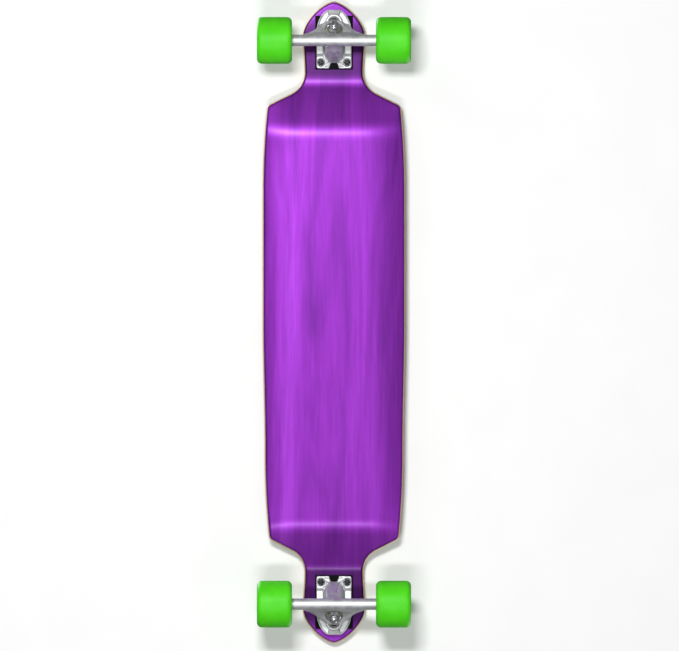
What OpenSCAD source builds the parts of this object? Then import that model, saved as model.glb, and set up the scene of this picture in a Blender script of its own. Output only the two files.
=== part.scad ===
// Dropped-platform longboard skateboard with top-mounted reverse-kingpin trucks.
// Frame: +X is the nose, +Y the rider's left, +Z up. The board stands on its four
// wheels, and the origin is on the ground, midway between the axles.

/* [Deck] */
// Length of the deck from tail tip to nose tip
deck_length = 1016; // [840:2:1220]
// Widest full width of the standing platform
deck_width = 226; // [188:1:272]
// How much narrower the tail half of the platform is than the nose half
tail_taper = 6; // [0:0.5:12]
// Full width of the necks that run between the wheels
neck_width = 94; // [78:1:113]
// Thickness of the pressed plies, without grip tape
deck_thickness = 12; // [10:0.5:15]
// Height that the standing platform hangs below the truck platforms
platform_drop = 22; // [4:1:27]
// Rise of the long edges above the flat middle of the platform
concave_rise = 6; // [0:0.5:8]
// Half width of the flat middle of the platform
flat_half = 50; // [40:1:62]
// Thickness of the stained outer ply
veneer_thickness = 1.2; // [0.8:0.1:1.6]
// Thickness of the grip tape
grip_thickness = 0.9; // [0.6:0.1:1.2]
// Round-over of the deck's lower edge
edge_round = 5; // [4:0.5:6]
// Distance from each axle to the nearer tip of the deck
tip_to_axle = 63; // [52:1:76]
// Distance from the front axle inboard to the bend where its truck platform starts
nose_high_bend = 67; // [60:1:80]
// Distance from the rear axle inboard to the bend where its truck platform starts
tail_high_bend = 57; // [52:1:70]
// Length of each sloped stretch between the two bends at the nose
nose_slope_length = 74; // [60:1:90]
// Length of each sloped stretch between the two bends at the tail
tail_slope_length = 67; // [56:1:80]

/* [Trucks] */
// Depth of the baseplate from the middle of the bushing seat to its mounting face
base_depth = 19; // [16:0.5:23]
// Length of the hanger between its two bearing faces
hanger_length = 162; // [135:1:195]
// Diameter of the hanger's axle tube
tube_d = 18; // [15:0.5:21.5]
// Half span of the hanger's wings
wing_half = 50.5; // [43:0.5:60]
// Tilt of the steering axis from the mounting face, in degrees
steer_tilt = 35; // [30:0.5:42]
// Diameter of the kingpin
kingpin_d = 9.5; // [8:0.1:11.4]
// Diameter of the steel axle
axle_d = 7.94; // [6.7:0.01:9.5]
// Length of the mounting hole pattern
pattern_length = 54; // [45:0.1:64.8]
// Width of the mounting hole pattern
pattern_width = 41.3; // [35:0.1:49.5]
// Diameter of the mounting bolts
bolt_d = 4.8; // [4:0.1:5.7]
// Thickness of the riser pads
riser_thickness = 3; // [2:0.5:6]

/* [Wheels] */
// Diameter of the wheels
wheel_d = 74; // [62:1:88]
// Width of the wheels
wheel_width = 55.3; // [46:0.1:66]
// Radius of the wheels' rounded lips
lip_radius = 8; // [5:0.5:9.5]

/* [Hidden] */
$fn = 64;
eps = 0.01;

// Steering frame: its origin is the point of the steering axis nearest to the axle.
// Local X runs along the axis toward the kingpin, local Z along the kingpin to the road.
housing_radius = 8;
steer_offset = tube_d / 2 + housing_radius + 1.5;
ring_s = 29;
seat_h = -18.5;

// A point of the steering frame as [outboard, toward the road] from the axle
function steer_point(s, h) = [(h - steer_offset) * sin(steer_tilt) + s * cos(steer_tilt),
    (h - steer_offset) * cos(steer_tilt) - s * sin(steer_tilt)];

// Whole board
truck_height = base_depth - steer_point(ring_s, seat_h)[1];
half_length = deck_length / 2;
axle_x = half_length - tip_to_axle;
axle_z = wheel_d / 2;
deck_z = axle_z + truck_height + riser_thickness;

// Deck outline, as half widths against the distance from the board's middle
neck_half = neck_width / 2;
nose_half = neck_half + 2.7;
nose_length = 51;
nose_start = half_length - nose_length;
fillet_radius = 37;
fillet_start = axle_x - 49.5;
flank_angle = 63.4;
shoulder_radius = 10;
shoulder_slope = 5.7;
taper_bow = 2600;

// Deck bends: where the platform starts to rise and where the truck platform starts
nose_bends = [axle_x - nose_high_bend - nose_slope_length, axle_x - nose_high_bend];
tail_bends = [axle_x - tail_high_bend - tail_slope_length, axle_x - tail_high_bend];
low_bend_half = 13;
high_bend_half = 8;
// Shares of the half width at which the deck's surface is drawn
deck_shares = [-1, -0.87, -0.72, -0.45, 0, 0.45, 0.72, 0.87, 1];
top_round = 3;

// Hanger ring, kingpin, bushings and pivot, in the steering frame
ring_radius = 19.2;
ring_top = 10;
ring_bottom = -5;
washer_thickness = 1.5;
head_h = seat_h - 5;
head_height = 7.5;
nut_af = 1.5 * kingpin_d;
hanger_washer_h = 12;
kingpin_top = 25.5;
recess_radius = 14;
bushing_radius = 12;
housing_half_gap = 3.8;
housing_start = -2;
housing_end = 10.5;
cup_radius = 6;
pivot_radius = 4.5;
pivot_tip = 3;
clearance = 0.05;

// Baseplate, in the truck frame: X outboard from the axle, Z toward the road
base_face = -truck_height;
flange_thickness = 6.5;
pocket_floor = 4.5;
pattern_inboard = -34;
base_inboard = pattern_inboard - 9.3;
base_outboard = 49.6;
base_half = pattern_width / 2 + 7.05;
base_curve_start = 14;
base_curve_length = 38;
arch_u = 29;
arch_radius = 13;
arch_hole_radius = 7;
riser_inboard = pattern_inboard - 10.8;
riser_outboard = riser_inboard + 85;
riser_half = pattern_width / 2 + 9.15;
long_pattern = 63.5;
hole_clearance = 0.2;
nut_height = 5;

// Bearings, centred on a wheel
bearing_width = 7;
bearing_gap = 10;
bearing_radius = 11;
bearing_bore = axle_d / 2 + 0.03;
ball_circle = 7.5;
ball_radius = 1.98;
ball_count = 7;
groove_radius = 2.05;
speed_ring_thickness = 1;
wheel_y = hanger_length / 2 + speed_ring_thickness + bearing_width + bearing_gap / 2;
bearing_a = (bearing_gap + bearing_width) / 2;
core_half = 14;
core_radius = 17;

// ---- Deck ----

function clamp01(t) = min(1, max(0, t));

function smooth(t) = let (c = clamp01(t)) c * c * (3 - 2 * c);

// Zero before -r, t after r, and a parabola between
function soft_ramp(t, r) = t < -r ? 0 : t > r ? t : (t + r) * (t + r) / (4 * r);

// Distance at which the flank's straight side would meet the neck's edge
fillet_corner_x = fillet_start - fillet_radius * tan(flank_angle / 2);
platform_half = deck_width / 2;
taper_start = fillet_corner_x - 165;

function flank_half(d) = neck_half + (fillet_corner_x - d) * tan(flank_angle);

function platform_width(d) = platform_half - pow(max(0, d - taper_start), 2) / taper_bow;

// Distance at which the flank reaches the platform's own edge
function shoulder_corner(d) =
    abs(flank_half(d) - platform_width(d)) < 0.01 ? d
    : shoulder_corner(d + (flank_half(d) - platform_width(d)) / tan(flank_angle));

shoulder_x = shoulder_corner(fillet_corner_x - 30);
shoulder_tangent = shoulder_radius * tan((flank_angle - shoulder_slope) / 2);
shoulder_start = shoulder_x - shoulder_tangent;
shoulder_centre = platform_width(shoulder_start) - shoulder_radius * cos(shoulder_slope);
shoulder_centre_x = shoulder_start - shoulder_radius * sin(shoulder_slope);

// The deck is drawn finely from a little before the bends
bend_start = min(nose_bends[0], tail_bends[0]) - 24;

// Points of one end's outline as [distance from the middle, half width]
end_outline = concat(
    [for (share = [0, 0.27, 0.53, 0.76, 0.92]) [share * bend_start, platform_width(share * bend_start)]],
    [for (d = [bend_start:8:shoulder_start - 3]) [d, platform_width(d)]],
    [for (a = [shoulder_slope:11.54:flank_angle + 1])
        [shoulder_centre_x + shoulder_radius * sin(a), shoulder_centre + shoulder_radius * cos(a)]],
    [for (a = [flank_angle:-9:0])
        [fillet_start - fillet_radius * sin(a), neck_half + fillet_radius * (1 - cos(a))]],
    [for (t = [0.15, 0.45, 0.75])
        [fillet_start + (nose_start - fillet_start) * t, neck_half + (nose_half - neck_half) * smooth(t)]],
    [for (a = [0:9:81])
        [nose_start + nose_length * pow(sin(a), 1.333), nose_half * pow(cos(a), 1.314)]],
    [[half_length, 1.5]]);
end_count = len(end_outline);

// Half width shrinks toward the tail by the taper, and the shrinking fades at the necks
function tail_trim(d) = tail_taper / 2 * smooth(d / 200) * smooth((fillet_start + 2 - d) / 60);

// Whole outline from tail tip to nose tip as [x, half width]
outline = concat(
    [for (i = [end_count - 1:-1:1]) [-end_outline[i][0], end_outline[i][1] - tail_trim(end_outline[i][0])]],
    [[0, end_outline[0][1] - 0.8]],
    [for (i = [1:end_count - 1]) end_outline[i]]);
station_count = len(outline);

// Outward unit normal of the outline at a station
function outline_normal(i) =
    let (a = outline[max(0, i - 1)], b = outline[min(station_count - 1, i + 1)],
        run = b[0] - a[0], rise = b[1] - a[1], size = norm([run, rise]))
    i == 0 ? [-1, 0] : i == station_count - 1 ? [1, 0] : [-rise / size, run / size];

normals = [for (i = [0:station_count - 1]) outline_normal(i)];

function bends(x) = x > 0 ? nose_bends : tail_bends;

// Depth of the deck below the level of the truck platforms
function drop_at(x) =
    let (d = abs(x), low = bends(x)[0], high = bends(x)[1])
    platform_drop * (1 - (soft_ramp(d - low, low_bend_half) - soft_ramp(d - high, high_bend_half)) / (high - low));

// Rise of the deck's surface toward its long edges
function rise_at(x, y) =
    let (d = abs(x), low = bends(x)[0], high = bends(x)[1],
        fade = smooth((high - d) / (high - low + 40)),
        t = max(0, abs(y) - flat_half) / (platform_half - flat_half))
    concave_rise * fade * t * t;

function underside(x, y) = deck_z - drop_at(x) + rise_at(x, y);

// Inset of the rounded edge at a height above the underside
function edge_inset(t) =
    t < edge_round ? edge_round - sqrt(max(0, edge_round * edge_round - pow(edge_round - t, 2)))
    : t > deck_thickness - top_round
        ? top_round - sqrt(max(0, top_round * top_round - pow(t - deck_thickness + top_round, 2)))
    : 0;

// One point of a slab: station, share of the half width from -1 to 1, height and inset
function slab_point(i, share, t, inset) =
    let (x = outline[i][0] - inset * normals[i][0],
        y = share * max(0.8, outline[i][1] - inset * normals[i][1]))
    [x, y, underside(x, y) + t];

// A layer of the deck between the first and last of its heights, as [height, inset] pairs.
// The section runs along the bottom, up the left edge, back along the top and down the right.
module deck_slab(levels) {
    last = len(levels) - 1;
    columns = len(deck_shares) - 1;
    ring = concat(
        [for (share = deck_shares) [share, levels[0]]],
        [for (k = [1:1:last - 1]) [1, levels[k]]],
        [for (j = [columns:-1:0]) [deck_shares[j], levels[last]]],
        [for (k = [last - 1:-1:1]) [-1, levels[k]]]);
    size = len(ring);
    top_right = columns + last;
    top_left = top_right + columns;
    points = [for (i = [0:station_count - 1]) for (r = ring) slab_point(i, r[0], r[1][0], r[1][1])];
    // Top and bottom are split along the same diagonals, so that stacked layers meet exactly
    side_triangles = [for (i = [0:station_count - 2]) for (j = [0:size - 1]) each
        let (k = (j + 1) % size, a = i * size, b = (i + 1) * size)
        j >= top_right && j < top_left
            ? [[a + j, a + k, b + j], [a + k, b + k, b + j]]
            : [[a + j, a + k, b + k], [a + j, b + k, b + j]]];
    // One end's face: quads between bottom and top, and a fan at each edge
    cap = concat(
        [for (j = [0:columns - 1]) each
            let (up = top_left - j)
            [[j, up, j + 1], [j + 1, up, up - 1]]],
        [for (k = [columns + 1:1:top_right - 1]) [columns, k + 1, k]],
        [for (k = [top_left:1:size - 2]) [0, k + 1, k]]);
    base = (station_count - 1) * size;
    tail_cap = cap;
    nose_cap = [for (t = cap) [base + t[0], base + t[2], base + t[1]]];
    polyhedron(points, concat(side_triangles, tail_cap, nose_cap), convexity = 6);
}

// Places its children at the four bolt positions of each truck, at the ground
module at_bolts() {
    for (side = [-1, 1], u = [pattern_inboard, pattern_inboard + pattern_length], v = [-1, 1])
        translate([side * (axle_x + u), v * pattern_width / 2, 0])
            children();
}

module bolt_holes(radius) {
    at_bolts()
        translate([0, 0, deck_z - 10])
            cylinder(r = radius, h = deck_thickness + 20);
}

bolt_head_radius = bolt_d - 0.1;
bolt_head_height = 2.6;
bolt_top = deck_z + deck_thickness + 0.4;
bolt_length = 0.4 + deck_thickness + riser_thickness + flange_thickness + nut_height + 1.7;

module deck_core() {
    color("burlywood")
        difference() {
            deck_slab([for (t = [veneer_thickness, edge_round, deck_thickness - top_round, deck_thickness])
                [t, edge_inset(t)]]);
            bolt_holes(bolt_d / 2 + hole_clearance);
            at_bolts()
                translate([0, 0, bolt_top - bolt_head_height - 0.1])
                    cylinder(r1 = bolt_d / 2, r2 = bolt_head_radius + 0.2, h = bolt_head_height + 0.1 + eps);
        }
}

module deck_bottom_veneer() {
    color("darkorchid")
        difference() {
            deck_slab([for (t = [0, veneer_thickness]) [t, edge_inset(t)]]);
            bolt_holes(bolt_d / 2 + hole_clearance);
        }
}

module grip_tape() {
    color("#262626")
        difference() {
            deck_slab([for (t = [deck_thickness, deck_thickness + grip_thickness]) [t, top_round]]);
            bolt_holes(bolt_head_radius + 0.5);
        }
}

module mounting_bolts() {
    color("#2b2b2e")
        at_bolts()
            difference() {
                union() {
                    translate([0, 0, bolt_top - bolt_head_height])
                        cylinder(r1 = bolt_d / 2, r2 = bolt_head_radius, h = bolt_head_height);
                    translate([0, 0, bolt_top - bolt_length])
                        cylinder(d = bolt_d, h = bolt_length - 1);
                }
                for (turn = [0, 90])
                    translate([0, 0, bolt_top])
                        rotate([0, 0, turn])
                            cube([5, 1.1, 3.2], center = true);
            }
}

module mounting_nuts() {
    color("#1d1d20")
        at_bolts()
            translate([0, 0, deck_z - riser_thickness - flange_thickness - nut_height])
                difference() {
                    union() {
                        translate([0, 0, 1.6])
                            cylinder(d = 2 * bolt_d / cos(30), h = nut_height - 1.6, $fn = 6);
                        cylinder(d = 1.8 * bolt_d, h = 2);
                    }
                    translate([0, 0, -eps])
                        cylinder(d = bolt_d, h = nut_height + 1);
                }
}

// ---- Truck pieces, in the truck frame ----

module truck_frame(end) {
    translate([end * axle_x, 0, axle_z])
        rotate(end > 0 ? [180, 0, 0] : [0, 180, 0])
            children();
}

module steer_frame() {
    translate([-steer_offset * sin(steer_tilt), 0, -steer_offset * cos(steer_tilt)])
        rotate([0, steer_tilt, 0])
            children();
}

module on_kingpin(h) {
    translate([ring_s, 0, h])
        children();
}

// A cylinder about the steering axis between two distances along it
module along_steer(radius, from, to) {
    translate([from, 0, 0])
        rotate([0, 90, 0])
            cylinder(r = radius, h = to - from);
}

// Straight pieces of a side view, as [X, Z] points, with a given thickness across
module side_plate(points, thickness) {
    rotate([90, 0, 0])
        linear_extrude(height = thickness, center = true)
            polygon(points);
}

module pattern_holes(radius, from, height, rows) {
    for (u = rows, v = [-1, 1])
        translate([u, v * pattern_width / 2, from])
            cylinder(r = radius, h = height);
}

bolt_rows = [pattern_inboard, pattern_inboard + pattern_length];

module riser_pad() {
    color("#141414")
        difference() {
            translate([riser_inboard, -riser_half, base_face - riser_thickness])
                cube([riser_outboard - riser_inboard, 2 * riser_half, riser_thickness]);
            pattern_holes(bolt_d / 2 + hole_clearance, base_face - riser_thickness - 1, riser_thickness + 2,
                concat(bolt_rows, [pattern_inboard + long_pattern]));
        }
}

// Half outline of the baseplate from its inboard edge to its outboard end, drawn inset
function base_half_outline(inset) =
    let (end_angle = asin((base_outboard - base_curve_start) / base_curve_length))
    concat(
        [[base_inboard + inset, base_half - 2.3 - inset / 2], [base_inboard + 0.7 + inset, base_half - 0.7 - inset]],
        [[base_inboard + 2.3 + inset, base_half - inset]],
        [for (i = [0:8])
            let (a = end_angle * i / 8)
            [base_curve_start + (base_curve_length - inset) * sin(a), (base_half - inset) * cos(a)]]);

module base_outline(inset) {
    half = base_half_outline(inset);
    polygon(concat(half, [for (i = [len(half) - 1:-1:0]) [half[i][0], -half[i][1]]]));
}

module base_flange() {
    translate([0, 0, base_face])
        linear_extrude(height = pocket_floor)
            base_outline(0);
    // Thick inboard half
    translate([0, 0, base_face])
        linear_extrude(height = flange_thickness)
            intersection() {
                base_outline(0);
                translate([base_inboard, -40])
                    square([base_curve_start - base_inboard, 80]);
            }
    // Rim along the outline
    translate([0, 0, base_face])
        linear_extrude(height = flange_thickness + 1)
            difference() {
                base_outline(0);
                base_outline(1.6);
            }
    // Pads under the outboard nuts
    pattern_holes(6.4, base_face, flange_thickness, [bolt_rows[1]]);
    // Raised collars around the inboard nuts
    intersection() {
        pattern_holes(9, base_face, flange_thickness + 1.4, [pattern_inboard]);
        translate([0, 0, base_face])
            linear_extrude(height = flange_thickness + 2)
                base_outline(0.4);
    }
}

// Ridge and round arch at the outboard end
module base_arch() {
    arch_height = 11.5;
    translate([arch_u, 0, base_face])
        cylinder(r = arch_radius, h = arch_height);
    intersection() {
        side_plate([[arch_u, base_face], [arch_u, base_face + arch_height],
            [arch_u + 10, base_face + arch_height], [base_outboard, base_face + flange_thickness + 1],
            [base_outboard, base_face]], 40);
        translate([0, 0, base_face])
            linear_extrude(height = 20)
                intersection() {
                    polygon([[arch_u, 9], [arch_u + 11, 7], [base_outboard, 10.4],
                        [base_outboard, -10.4], [arch_u + 11, -7], [arch_u, -9]]);
                    base_outline(0);
                }
    }
}

// Tower that carries the pivot cup, with a spine down to the inboard end
module base_tower() {
    top = base_face + flange_thickness;
    housing_half = housing_half_gap + housing_radius;
    shoulder_w = steer_point(0, -housing_radius)[1] - 6;
    steer_frame() {
        for (v = [-1, 1])
            translate([0, v * housing_half_gap, 0])
                along_steer(housing_radius, housing_start, housing_end);
        translate([housing_start, -housing_half_gap, -housing_radius])
            cube([housing_end - housing_start, 2 * housing_half_gap, 2 * housing_radius]);
    }
    // Core of the tower: its side view, front view and plan meet
    intersection() {
        side_plate([[-33, base_face], [-33, top + 1], steer_point(-2, -8.5), steer_point(-1, -2),
            steer_point(housing_end, -2), steer_point(housing_end, -9), steer_point(13, -15),
            steer_point(15, seat_h), [-2, base_face]], 40);
        rotate([90, 0, 90])
            linear_extrude(height = 80, center = true)
                polygon([[-15.5, base_face], [-15.5, top + 4], [-housing_half, shoulder_w], [-housing_half, 0],
                    [housing_half, 0], [housing_half, shoulder_w], [15.5, top + 4], [15.5, base_face]]);
        translate([0, 0, base_face])
            linear_extrude(height = 60)
                polygon([[0, 16], [-20, 16], [-23, 14.8], [-30.5, 10.2], [-33, 6],
                    [-33, -6], [-30.5, -10.2], [-23, -14.8], [-20, -16], [0, -16]]);
    }
    // Spine, proud of the core, which widens into two arms beside the notch
    intersection() {
        side_plate([[-40, base_face], [-40, top + 1], [-34, top + 3], steer_point(-2.6, -11.5),
            steer_point(-2.2, -6), steer_point(6, -6), steer_point(6, -14), [-9, base_face]], 40);
        translate([0, 0, base_face])
            linear_extrude(height = 60)
                polygon([[-40, 15], [-35, 11], [-30, 6.5], [-22, 3.7], [-9, 3.7],
                    [-9, -3.7], [-22, -3.7], [-30, -6.5], [-35, -11], [-40, -15]]);
    }
    // Cheeks that stiffen the side walls
    intersection() {
        for (v = [-1, 1])
            translate([0, v * 23, 0])
                side_plate([[-27, base_face], [-26, top + 0.5], [-20, top + 5], [-8, top + 7], [4, top + 5.5],
                    [9, top], [9, base_face]], 12);
        translate([0, 0, base_face])
            linear_extrude(height = 60)
                base_outline(0);
    }
}

// Inclined boss under the boardside bushing
module base_seat() {
    intersection() {
        steer_frame()
            on_kingpin(seat_h - 45)
                cylinder(r = 14.4, h = 46.2);
        translate([-60, -40, base_face])
            cube([120, 80, 60]);
    }
}

module baseplate() {
    color("silver")
        difference() {
            union() {
                base_flange();
                base_arch();
                base_tower();
                base_seat();
            }
            // Bolt holes, nut seats and the hole in the arch
            pattern_holes(bolt_d / 2 + hole_clearance, base_face - 1, 40, bolt_rows);
            pattern_holes(6.6, base_face + flange_thickness, 40, [pattern_inboard]);
            pattern_holes(6.3, base_face + flange_thickness, 12, [bolt_rows[1]]);
            translate([arch_u, 0, base_face - 1])
                cylinder(r = arch_hole_radius, h = 40);
            translate([arch_u, 0, base_face + 9.5])
                cylinder(r = arch_hole_radius + 2.2, h = 40);
            // Notch in the inboard end
            translate([0, 0, base_face - 1])
                linear_extrude(height = 60)
                    polygon([[base_inboard - 1, 8.3], [-36, 5.6], [-34.6, 4.2], [-34.6, -4.2], [-36, -5.6],
                        [base_inboard - 1, -8.3]]);
            // Seat, bore and head pocket for the kingpin, and the hole for the pivot cup
            steer_frame() {
                on_kingpin(seat_h)
                    cylinder(r = 13.2, h = 30);
                on_kingpin(-60)
                    cylinder(r = kingpin_d / 2 + 0.1, h = 60);
                on_kingpin(head_h - 40)
                    rotate([0, 0, 30])
                        cylinder(d = (nut_af + 0.4) / cos(30), h = 40, $fn = 6);
                along_steer(cup_radius, 0.5, housing_end + 1);
            }
        }
}

module pivot_cup() {
    color("#e8e2cf")
        steer_frame()
            difference() {
                along_steer(cup_radius, 0.5, housing_end);
                along_steer(pivot_radius + clearance, 2.2, housing_end + 1);
            }
}

module kingpin() {
    color("#b9bcc0")
        steer_frame()
            on_kingpin(0) {
                translate([0, 0, head_h - head_height])
                    rotate([0, 0, 30])
                        cylinder(d = nut_af / cos(30), h = head_height, $fn = 6);
                translate([0, 0, head_h - 2])
                    cylinder(d = kingpin_d, h = kingpin_top - head_h + 1);
                translate([0, 0, kingpin_top - 1])
                    cylinder(d1 = kingpin_d, d2 = kingpin_d - 2, h = 1);
            }
}

module kingpin_nut() {
    color("#d4d6d8")
        steer_frame()
            on_kingpin(hanger_washer_h + washer_thickness)
                difference() {
                    union() {
                        intersection() {
                            cylinder(d = nut_af / cos(30), h = 7.6, $fn = 6);
                            cylinder(r1 = 10, r2 = 7.7, h = 7.6);
                        }
                        cylinder(r = 6.4, h = 10);
                    }
                    translate([0, 0, -eps])
                        cylinder(d = kingpin_d, h = 12);
                }
}

module boardside_washer() {
    color("#c3c6c9")
        steer_frame()
            on_kingpin(seat_h)
                difference() {
                    cylinder(r = 13, h = washer_thickness);
                    translate([0, 0, -1])
                        cylinder(r = kingpin_d / 2 + 0.1, h = 4);
                }
}

module roadside_washer() {
    color("#d9dbdd")
        steer_frame()
            on_kingpin(hanger_washer_h)
                difference() {
                    union() {
                        cylinder(r1 = 11, r2 = 9.8, h = washer_thickness);
                        translate([0, 0, -2])
                            cylinder(r = 11, h = 2);
                    }
                    translate([0, 0, -3])
                        cylinder(r = 9.6, h = 3);
                    translate([0, 0, -1])
                        cylinder(r = kingpin_d / 2 + 0.1, h = 4);
                }
}

module boardside_bushing() {
    low = seat_h + washer_thickness;
    color("#e9e3c4")
        steer_frame()
            on_kingpin(0)
                difference() {
                    rotate_extrude()
                        polygon([[4, low], [11.2, low], [bushing_radius, low + 1], [bushing_radius, -4],
                            [11.2, -3], [4, -3]]);
                    translate([0, 0, low - 1])
                        cylinder(r = kingpin_d / 2 + 0.15, h = 20);
                }
}

module roadside_bushing() {
    color("#e9e3c4")
        steer_frame()
            on_kingpin(0)
                difference() {
                    rotate_extrude()
                        polygon([[4, 1], [11.4, 1], [bushing_radius, 1.8], [9.4, 8.4], [9.4, hanger_washer_h],
                            [4, hanger_washer_h]]);
                    translate([0, 0, -1])
                        cylinder(r = kingpin_d / 2 + 0.15, h = 20);
                }
}

// Plan of the hanger's wings: reach from the tube to the ring's outboard edge, against the
// share of their half span
ring_reach = steer_point(ring_s + ring_radius, ring_top)[0];
wing_shape = [[0.844, 0.277], [0.648, 0.404], [0.453, 0.523], [0.32, 0.606], [0.219, 0.7], [0.14, 0.8],
    [0.09, 0.89], [0, 1]];
wing_outline = concat(
    [for (p = wing_shape) [tube_d / 2 + (ring_reach - tube_d / 2) * p[0], wing_half * p[1]]],
    [[0, wing_half * 1.07]]);

// Wings between two heights of the steering frame, with their edge drawn in
module hanger_wings(low, high, inset) {
    tube_radius = tube_d / 2;
    half = [for (p = wing_outline) [p[0] - inset * 0.8, p[1] - inset * 0.6]];
    intersection() {
        translate([0, 0, -80])
            linear_extrude(height = 100)
                polygon(concat([[-7, wing_half - 5]], [for (i = [len(half) - 1:-1:0]) half[i]],
                    [for (p = half) [p[0], -p[1]]], [[-7, 5 - wing_half]]));
        steer_frame()
            side_plate([[-8, low + 8], [0, steer_offset], [tube_radius * cos(40), steer_offset + tube_radius * sin(40)],
                [22, high], [60, high], [60, low], [12, low], [2, low + 2]], 120);
    }
}

module hanger() {
    color("gainsboro")
        difference() {
            union() {
                rotate([90, 0, 0])
                    cylinder(d = tube_d, h = hanger_length, center = true);
                difference() {
                    union() {
                        hanger_wings(-1, 6.5, 0);
                        hanger_wings(-1, ring_top, 3);
                        steer_frame()
                            on_kingpin(ring_bottom)
                                cylinder(r = ring_radius, h = ring_top - ring_bottom - 1.5);
                        steer_frame()
                            on_kingpin(ring_top - 1.5)
                                cylinder(r1 = ring_radius, r2 = ring_radius - 1.5, h = 1.5);
                    }
                    // Room for the pivot housing
                    steer_frame()
                        translate([-20, -14, -20])
                            cube([20 + housing_end + 0.7, 28, 20 + steer_offset - tube_d / 2 - eps]);
                }
                // Pivot pin
                steer_frame() {
                    translate([pivot_tip + pivot_radius, 0, 0])
                        sphere(r = pivot_radius);
                    along_steer(pivot_radius, pivot_tip + pivot_radius, 20);
                    translate([housing_end + 0.8, 0, 0])
                        rotate([0, 90, 0])
                            cylinder(r1 = pivot_radius, r2 = 8, h = 6);
                }
            }
            steer_frame() {
                // Roadside recess and boardside recess for the bushings, and the ring's bore
                on_kingpin(1)
                    cylinder(r1 = bushing_radius + 0.5, r2 = recess_radius, h = ring_top - 1);
                on_kingpin(ring_top - eps)
                    cylinder(r = recess_radius, h = 20);
                on_kingpin(-25)
                    cylinder(r = bushing_radius + 0.5, h = 22);
                on_kingpin(-25)
                    cylinder(r = kingpin_d / 2 + 2.75, h = 40);
            }
            // Bore for the axle
            rotate([90, 0, 0])
                cylinder(d = axle_d, h = hanger_length + 2, center = true);
        }
}

axle_tip = wheel_y + bearing_gap / 2 + bearing_width + speed_ring_thickness + 8;

module axle() {
    color("#c9ccd0")
        rotate([90, 0, 0]) {
            cylinder(d = axle_d, h = 2 * axle_tip - 2, center = true);
            for (side = [0, 1])
                mirror([0, 0, side])
                    translate([0, 0, axle_tip - 1])
                        cylinder(d1 = axle_d, d2 = axle_d - 1.6, h = 1);
        }
}

// A ring about the axle line, from one distance along it to another, on both sides
module axle_rings(outer, inner, from, to) {
    for (side = [0, 1])
        mirror([0, side, 0])
            translate([0, from, 0])
                rotate([-90, 0, 0])
                    difference() {
                        cylinder(r = outer, h = to - from);
                        translate([0, 0, -1])
                            cylinder(r = inner, h = to - from + 2);
                    }
}

inner_face = hanger_length / 2;
outer_face = wheel_y + bearing_gap / 2 + bearing_width;

module speed_rings() {
    color("#d0d3d6") {
        axle_rings(5.9, bearing_bore, inner_face, inner_face + speed_ring_thickness);
        axle_rings(5.9, bearing_bore, outer_face, outer_face + speed_ring_thickness);
    }
}

module bearing_spacers() {
    color("#c4c7ca")
        axle_rings(5.5, bearing_bore, wheel_y - bearing_gap / 2, wheel_y + bearing_gap / 2);
}

module axle_nuts() {
    lock_nut_height = 6.5;
    color("#cfd2d5")
        for (side = [0, 1])
            mirror([0, side, 0])
                translate([0, outer_face + speed_ring_thickness, 0])
                    rotate([-90, 0, 0])
                        difference() {
                            union() {
                                cylinder(d = 1.6 * axle_d / cos(30), h = 4.6, $fn = 6);
                                cylinder(r = 0.7 * axle_d, h = lock_nut_height);
                            }
                            translate([0, 0, -1])
                                cylinder(r = bearing_bore, h = lock_nut_height + 2);
                        }
}

// Places its children in both bearings of a wheel whose middle is at the origin, axis Z
module at_bearings() {
    for (side = [-1, 1])
        translate([0, 0, side * bearing_a])
            children();
}

module bearing_ring(inner, outer) {
    at_bearings()
        rotate_extrude()
            difference() {
                translate([inner, -bearing_width / 2])
                    square([outer - inner, bearing_width]);
                translate([ball_circle, 0])
                    circle(r = groove_radius);
            }
}

module bearing_inner_rings() {
    color("#d7dadc")
        for (side = [-1, 1])
            translate([0, side * wheel_y, 0])
                rotate([-90, 0, 0])
                    bearing_ring(bearing_bore, 6);
}

// ---- Wheel pieces, with the wheel's middle at the origin and its axis along Z ----

module wheel_tyre() {
    half = wheel_width / 2;
    radius = wheel_d / 2;
    color("#55e522")
        rotate_extrude($fn = 128)
            difference() {
                union() {
                    translate([core_radius - 3, -half + lip_radius])
                        square([radius - core_radius + 3, 2 * (half - lip_radius)]);
                    translate([core_radius - 3, -half])
                        square([radius - lip_radius - core_radius + 3, 2 * half]);
                    for (side = [-1, 1])
                        translate([radius - lip_radius, side * (half - lip_radius)])
                            circle(r = lip_radius);
                }
                for (side = [0, 1])
                    mirror([0, side])
                        polygon([[core_radius - 4, core_half], [core_radius, core_half],
                            [radius - lip_radius - 2, half], [radius - lip_radius - 2, half + 1],
                            [core_radius - 4, half + 1]]);
                core_section();
            }
}

// Half section of the hub core without its bores
module core_section() {
    translate([0, -core_half])
        square([core_radius, 2 * core_half]);
    translate([0, -5])
        square([core_radius + 2.5, 10]);
}

module hub_core() {
    color("#efefe6")
        rotate_extrude($fn = 96)
            difference() {
                core_section();
                translate([-1, -core_half - 1])
                    square([10, 2 * core_half + 2]);
                for (side = [0, 1])
                    mirror([0, side])
                        translate([-1, bearing_gap / 2])
                            square([bearing_radius + 1, core_half]);
            }
}

module bearing_outer_rings() {
    color("#d7dadc")
        bearing_ring(9, bearing_radius);
}

module bearing_shields() {
    color("#b04038")
        at_bearings()
            for (side = [0, 1])
                mirror([0, 0, side])
                    translate([0, 0, 3])
                        difference() {
                            cylinder(r = 9, h = 0.35);
                            translate([0, 0, -1])
                                cylinder(r = 6.3, h = 3);
                        }
}

module ball_places() {
    at_bearings()
        for (i = [0:ball_count - 1])
            rotate([0, 0, i * 360 / ball_count])
                translate([ball_circle, 0, 0])
                    children();
}

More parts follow.
